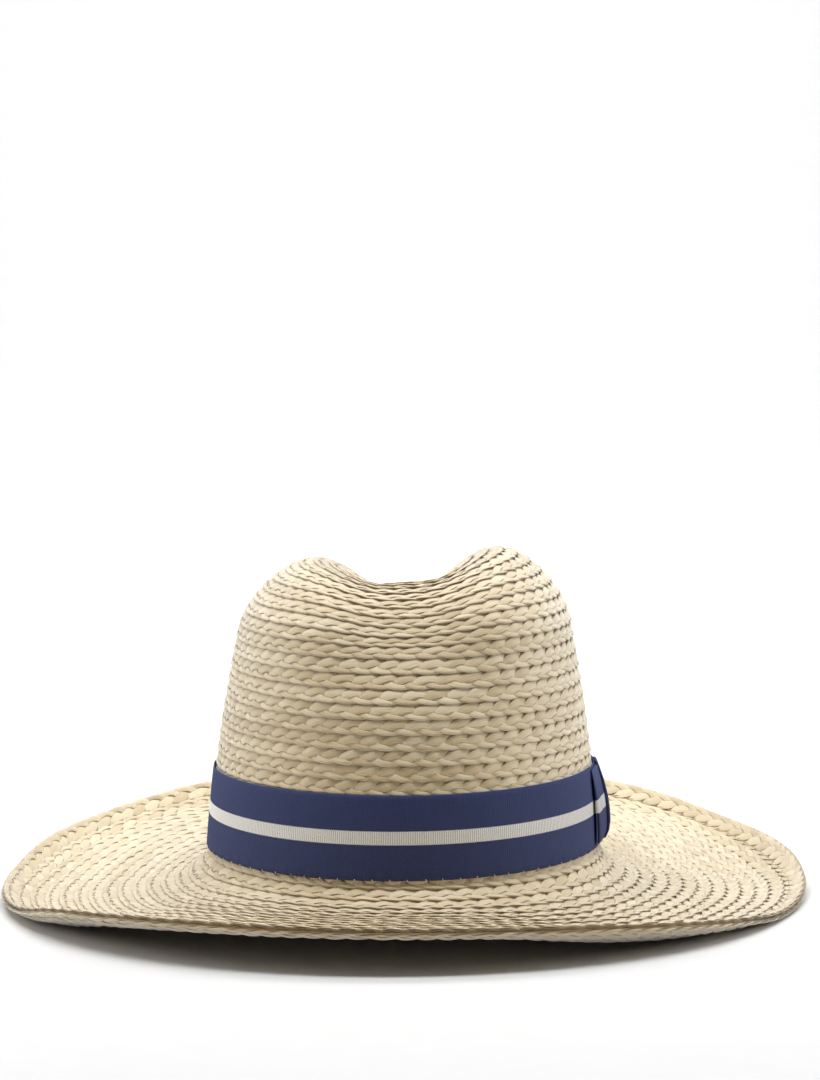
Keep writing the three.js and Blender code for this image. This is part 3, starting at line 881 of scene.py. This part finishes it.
def add_camera():
    """A long lens in front of the hat, looking down on it a little."""
    data = bpy.data.cameras.new("view")
    data.lens = 134.2
    camera = bpy.data.objects.new("view", data)
    aim = Vector((0.00425, 0, 0.1589))
    distance = 1.8
    down, roll = math.radians(5.5), math.radians(-0.54)
    camera.matrix_world = (
        Matrix.Translation(aim + distance * Vector((0, -math.cos(down), math.sin(down))))
        @ Matrix.Rotation(math.pi / 2 - down, 4, "X")
        @ Matrix.Rotation(roll, 4, "Z")
    )
    bpy.context.collection.objects.link(camera)
    bpy.context.scene.camera = camera


def add_light(name, place, aim, size, watts):
    data = bpy.data.lights.new(name, "AREA")
    data.shape = "RECTANGLE"
    data.size, data.size_y = size
    data.energy = watts
    light = bpy.data.objects.new(name, data)
    light.location = place
    light.rotation_euler = (Vector(aim) - Vector(place)).to_track_quat("-Z", "Y").to_euler()
    bpy.context.collection.objects.link(light)


def add_stage():
    """A pale floor that sweeps up into a backdrop, under large soft lights."""
    wall, reach, round_off = 4, 6, 1.5
    bend = [
        (wall - round_off + round_off * math.sin(t), round_off - round_off * math.cos(t))
        for t in np.linspace(0, math.pi / 2, 16)
    ]
    profile = [(-reach, 0), *bend, (wall, reach)]
    places = [(x, y, z) for y, z in profile for x in (-reach, reach)]
    faces = [(2 * i, 2 * i + 1, 2 * i + 3, 2 * i + 2) for i in range(len(profile) - 1)]
    mesh = bpy.data.meshes.new("backdrop")
    mesh.from_pydata(places, [], faces)
    mesh.shade_smooth()
    look = Look("paper", roughness=0.9)
    grain = look.noise(60.0)
    colour = look.ramp(grain, (0.3, (0.595, 0.595, 0.595)), (0.7, (0.605, 0.605, 0.605)))
    mesh.materials.append(look.finish(colour, grain, 0.00002, 0.1))
    backdrop = bpy.data.objects.new("backdrop", mesh)
    bpy.context.collection.objects.link(backdrop)

    world = bpy.data.worlds.new("studio")
    world.use_nodes = True
    background = world.node_tree.nodes["Background"]
    background.inputs["Color"].default_value = (1, 1, 1, 1)
    background.inputs["Strength"].default_value = 0.17
    bpy.context.scene.world = world
    bpy.context.scene.view_settings.view_transform = "Standard"

    centre = (0, 0, 0.08)
    add_light("overhead", (0, -0.15, 1.7), centre, (2.0, 0.45), 32)
    add_light("back", (0, 0.9, 1.5), centre, (2.6, 0.7), 14)
    add_light("left", (-1.5, 0.25, 0.6), centre, (0.9, 0.8), 9)
    add_light("right", (1.5, 0.25, 0.6), centre, (0.9, 0.8), 9)
    add_light("backdrop_wash", (0, 1.6, 2.6), (0, 3.5, 0.8), (3, 1), 128)


# --- assembly ---------------------------------------------------------------------------------------

add_camera()
add_stage()

straw = straw_look()
ribbon = ribbon_look()
thread = thread_look("pale_thread", (0.66, 0.60, 0.48), (0.84, 0.80, 0.70))
straw_thread = thread_look("straw_thread", (0.42, 0.33, 0.19), (0.60, 0.50, 0.32))
twill = cloth_look("twill", (0.80, 0.77, 0.70), (0.66, 0.62, 0.54), 0.9)
satin = cloth_look("satin", (0.84, 0.83, 0.80), (0.76, 0.75, 0.72), 0.35, roughness=0.35)

tip, wall, brim, edge = body_rows(straw)
band = ribbon_band(ribbon)
loop, tail, keeper = bow_loop(ribbon), bow_tail(ribbon), bow_keeper(ribbon)
lining = lining_band(twill)
label = blank_label(satin)
ribbon_tacks = ribbon_stitches(thread)
edge_seam = edge_stitches(straw_thread)
lining_seam = lining_stitches(thread)

for piece, node, slot in (
    (tip, "crown_tip_braid", "straw"),
    (wall, "crown_wall_braid", "straw"),
    (brim, "brim_braid", "straw"),
    (edge, "brim_edge_braid", "straw"),
    (edge_seam, "brim_edge_stitch", "thread"),
    (band, "ribbon_band", "ribbon"),
    (ribbon_tacks, "ribbon_stitch", "thread"),
    (loop, "bow_loop", "ribbon"),
    (tail, "bow_tail", "ribbon"),
    (keeper, "bow_keeper", "ribbon"),
    (bow_stitch("bow_tacks_front", thread, BOW_HALF_LENGTH), "bow_tack_front", "thread"),
    (bow_stitch("bow_tacks_back", thread, -BOW_HALF_LENGTH), "bow_tack_back", "thread"),
    (lining, "sweatband", "lining"),
    (lining_seam, "sweatband_stitch", "thread"),
    (label, "care_label", "label"),
):
    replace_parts(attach(piece, "root"), node)

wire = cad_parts["brim_edge_wire"]
wire.material_slots[0].material = wire_look()
